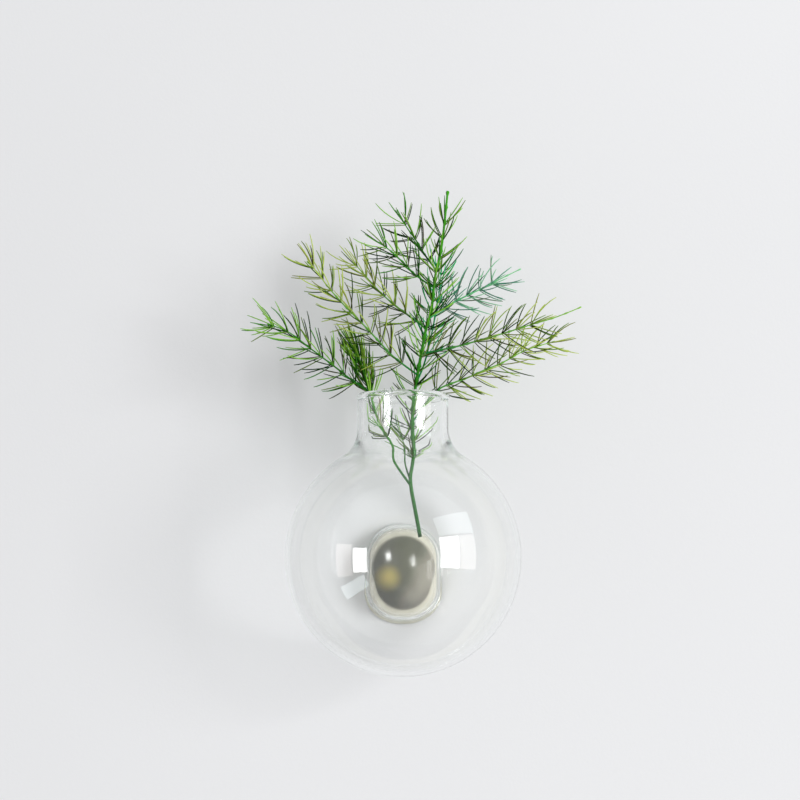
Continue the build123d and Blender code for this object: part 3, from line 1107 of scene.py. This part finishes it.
@dataclass(frozen=True)
class Pane:
    """A soft rectangular light, by the angles that it spans seen from the globe, and its brightness.

    A card is one that shows only as a reflection, and only in the nodes that it is for.
    """

    name: str
    left_degrees: float
    right_degrees: float
    low_degrees: float
    high_degrees: float
    radiance: float
    colour: Colour = (1.0, 1.0, 1.0)
    distance: float = 4000.0
    roll_degrees: float = 0.0
    card_for: tuple[str, ...] = ()
    soft_gloss_only: bool = False

    def build(self, target: Vector) -> None:
        """Places the light so that it faces the target. Its power is its radiance times pi times its area.

        Args:
            target: the middle of the globe, in metres.
        """
        azimuth = math.radians((self.left_degrees + self.right_degrees) / 2)
        elevation = math.radians((self.low_degrees + self.high_degrees) / 2)
        level = math.cos(elevation)
        aim = Vector((math.sin(azimuth) * level, -math.cos(azimuth) * level, math.sin(elevation)))
        distance = self.distance * MM
        light = bpy.data.lights.new(self.name, "AREA")
        light.shape = "RECTANGLE"
        light.size = 2 * distance * math.tan(math.radians(self.right_degrees - self.left_degrees) / 2)
        light.size_y = 2 * distance * math.tan(math.radians(self.high_degrees - self.low_degrees) / 2)
        light.color = self.colour
        light.energy = self.radiance * math.pi * light.size * light.size_y
        lamp = bpy.data.objects.new(self.name, light)
        lamp.location = target + distance * aim
        turn = Quaternion(aim, math.radians(self.roll_degrees))
        lamp.rotation_euler = (turn @ aim.to_track_quat("Z", "Y")).to_euler()
        lamp.visible_camera = False
        light.cycles.use_multiple_importance_sampling = not self.soft_gloss_only
        if self.card_for:
            lamp.visible_diffuse = False
            lamp.visible_transmission = False
            shown = bpy.data.collections.new(self.name + "_shown")
            for name in self.card_for:
                shown.objects.link(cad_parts[name])
            lamp.light_linking.receiver_collection = shown
        bpy.context.scene.collection.objects.link(lamp)
        log.info("%s: %.2f by %.2f m", self.name, light.size, light.size_y)


@dataclass
class Studio:
    """The wall, the window's light, the pale surroundings and the camera."""

    image_size: float = 800.0
    globe_pixel_x: float = 403.3
    globe_pixel_y: float = 557.0
    focal_pixels: float = 1572.0
    globe_centre: tuple[float, float, float] = (0.0, -48.67, 7.0)
    camera_distance: float = 669.4
    camera_height: float = 5.7
    sensor: float = 36.0
    clip_start: float = 10.0
    wall_colour: Colour = (0.84, 0.845, 0.86)
    wall_shade: float = 0.97
    wall_patch_size: float = 420.0
    wall_patch_from: float = 0.3
    wall_patch_to: float = 0.7
    wall_grain_size: float = 1.4
    wall_grain_depth: float = 0.04
    wall_roughness: float = 0.85
    wall_gloss: float = 0.2
    wall_half_size: float = 3000.0
    wall_gap: float = 0.2
    surround: Colour = (1.05, 1.055, 1.06)
    surround_low: Colour = (1.02, 1.025, 1.03)
    low_height: float = -0.9
    high_height: float = 0.1
    backdrop: Colour = (0.80, 0.805, 0.81)
    fill: float = 0.53
    bounces: int = 32
    panes: tuple[Pane, ...] = (
        Pane("main_pane", 36.0, 55.0, -9.5, 17.5, 13.5),
        Pane("side_pane", 56.0, 73.0, -9.5, 17.5, 3.2, (1.0, 0.93, 0.90), card_for=("glass_vessel",)),
        Pane("upper_pane", 36.0, 73.0, 19.5, 37.0, 3.2, (0.88, 0.97, 1.0), card_for=("glass_vessel",)),
        Pane("left_card", -49.0, -34.5, -13.5, 8.0, 16.0, card_for=("glass_vessel",)),
        Pane("far_left_card", -67.0, -50.0, -16.0, 10.5, 3.5, (1.0, 0.9, 0.87), card_for=("glass_vessel",)),
        Pane(
            "low_left_card", -65.0, -37.0, -31.0, -20.0, 5.5, (0.85, 0.97, 1.0),
            roll_degrees=18.0, card_for=("glass_vessel",),
        ),
        Pane(
            "cap_spot", -81.0, -59.0, 7.0, 22.0, 28.0,
            distance=900.0, roll_degrees=30.0, card_for=("peg_cap",), soft_gloss_only=True,
        ),
    )

    def camera(self) -> None:
        """Makes the camera, pitched up so that the globe's centre falls on its pixel."""
        centre = Vector(self.globe_centre)
        data = bpy.data.cameras.new("camera")
        data.sensor_width = self.sensor
        data.lens = self.focal_pixels * self.sensor / self.image_size
        data.clip_start = self.clip_start * MM
        half = self.image_size / 2
        aside = (self.globe_pixel_x - half) / self.focal_pixels * self.camera_distance
        below = math.atan((self.globe_pixel_y - half) / self.focal_pixels)
        rise = math.atan((centre.z - self.camera_height) / self.camera_distance)
        camera = bpy.data.objects.new("camera", data)
        camera.location = MM * Vector((centre.x - aside, centre.y - self.camera_distance, self.camera_height))
        camera.rotation_euler = (math.pi / 2 + below + rise, 0, 0)
        bpy.context.scene.collection.objects.link(camera)
        bpy.context.scene.camera = camera
        log.info("camera: lens %.1f mm, pitched %.2f degrees", data.lens, math.degrees(below + rise))

    def wall(self) -> None:
        """Makes the painted wall, which is see-through from behind so that the back of the peg shows."""
        shader = Shader.of_material("painted_wall")
        patches = shader.noise(self.wall_patch_size).eased(self.wall_patch_from, self.wall_patch_to)
        grain = shader.noise(self.wall_grain_size, detail=3.0)
        darker = tuple(self.wall_shade * part for part in self.wall_colour)
        paint = shader.value(
            "ShaderNodeBsdfPrincipled",
            inputs={
                "Base Color": shader.mix(patches, darker, self.wall_colour),
                "Roughness": self.wall_roughness,
                "Specular IOR Level": self.wall_gloss,
                "Normal": shader.bump(grain, self.wall_grain_depth),
            },
        )
        clear = shader.value("ShaderNodeBsdfTransparent")
        behind = shader.value("ShaderNodeNewGeometry", output="Backfacing")
        material = shader.finish(shader.value("ShaderNodeMixShader", inputs={0: behind, 1: paint, 2: clear}))
        half, gap = self.wall_half_size, self.wall_gap
        sheets = Sheets()
        corners = np.array([[-half, gap, -half], [half, gap, -half], [half, gap, half], [-half, gap, half]])
        sheets.add(corners, [np.array([[0, 1, 2, 3]])])
        sheets.piece("wall", material)

    def surroundings(self) -> None:
        """Makes the world: a backdrop for the camera, a brighter one for gloss, and a weak fill as light."""
        world = bpy.data.worlds.new("surroundings")
        bpy.context.scene.world = world
        world.cycles.sampling_method = "NONE"
        shader = Shader(world)
        way = shader.value("ShaderNodeTexCoord", output="Generated")
        height = shader.value("ShaderNodeSeparateXYZ", inputs={0: way}, output="Z")
        high = height.eased(self.low_height, self.high_height)
        mirrored = shader.mix(high, self.surround_low, self.surround)
        room = shader.mix(shader.sight("Is Camera Ray", "Is Transmission Ray"), mirrored, self.backdrop)
        seen = shader.value("ShaderNodeBackground", inputs={"Color": room})
        light = shader.value("ShaderNodeBackground", inputs={"Color": (1, 1, 1, 1), "Strength": self.fill})
        share = shader.sight("Is Camera Ray", "Is Glossy Ray", "Is Transmission Ray")
        mixed = shader.value("ShaderNodeMixShader", inputs={0: share, 1: light, 2: seen})
        shader.node("ShaderNodeOutputWorld", inputs={"Surface": mixed})

    def build(self) -> None:
        """Makes everything round the object."""
        bpy.context.scene.view_settings.view_transform = "Standard"
        cycles = bpy.context.scene.cycles
        for limit in ("max_bounces", "glossy_bounces", "transmission_bounces", "transparent_max_bounces"):
            setattr(cycles, limit, self.bounces)
        cycles.caustics_reflective = cycles.caustics_refractive = False
        self.camera()
        self.wall()
        self.surroundings()
        for pane in self.panes:
            pane.build(MM * Vector(self.globe_centre))


def main() -> None:
    """Builds the studio, then dresses the mount, the vessel and the sprig."""
    logging.basicConfig(level=logging.INFO, format="%(message)s")
    Studio().build()
    WallMount().build()
    Vessel().build()
    Sprig().build()


if __name__ == "__main__":
    main()
